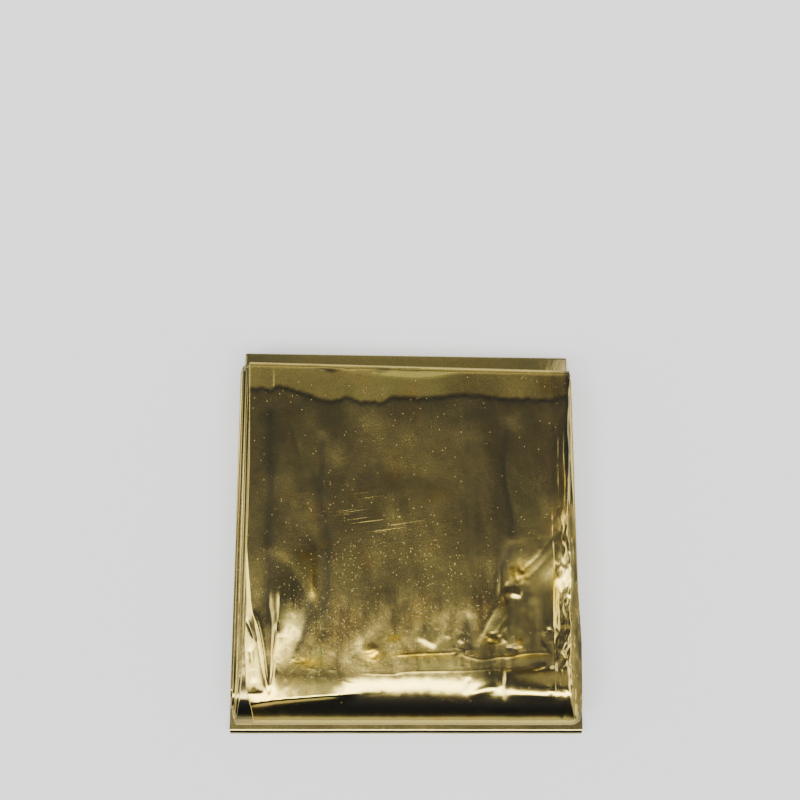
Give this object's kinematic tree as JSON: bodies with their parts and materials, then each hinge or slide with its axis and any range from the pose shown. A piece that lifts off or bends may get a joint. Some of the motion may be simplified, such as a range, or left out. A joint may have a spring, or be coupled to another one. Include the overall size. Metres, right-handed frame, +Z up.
{
  "type": "folded emergency foil blanket",
  "caption": "Gold-faced metallised film rescue blanket, folded to and fro into a flat packet with a rounded spine and layered edges.",
  "frame": {"origin": "middle of the packet's box on the surface that it lies on", "axes": "+X across the packet, to the right in the picture; +Y up the packet, from the rounded spine to the open end; +Z up, out of the front panel"},
  "size_m": [0.0944, 0.1014, 0.0153],
  "materials": {
    "gold_film": "vacuum-metallised film, gold-coloured outer face, mirror gloss with soft creases and fine scuffs"
  },
  "bodies": {
    "root": {"foil_blanket": "gold_film"}
  },
  "joints": []
}
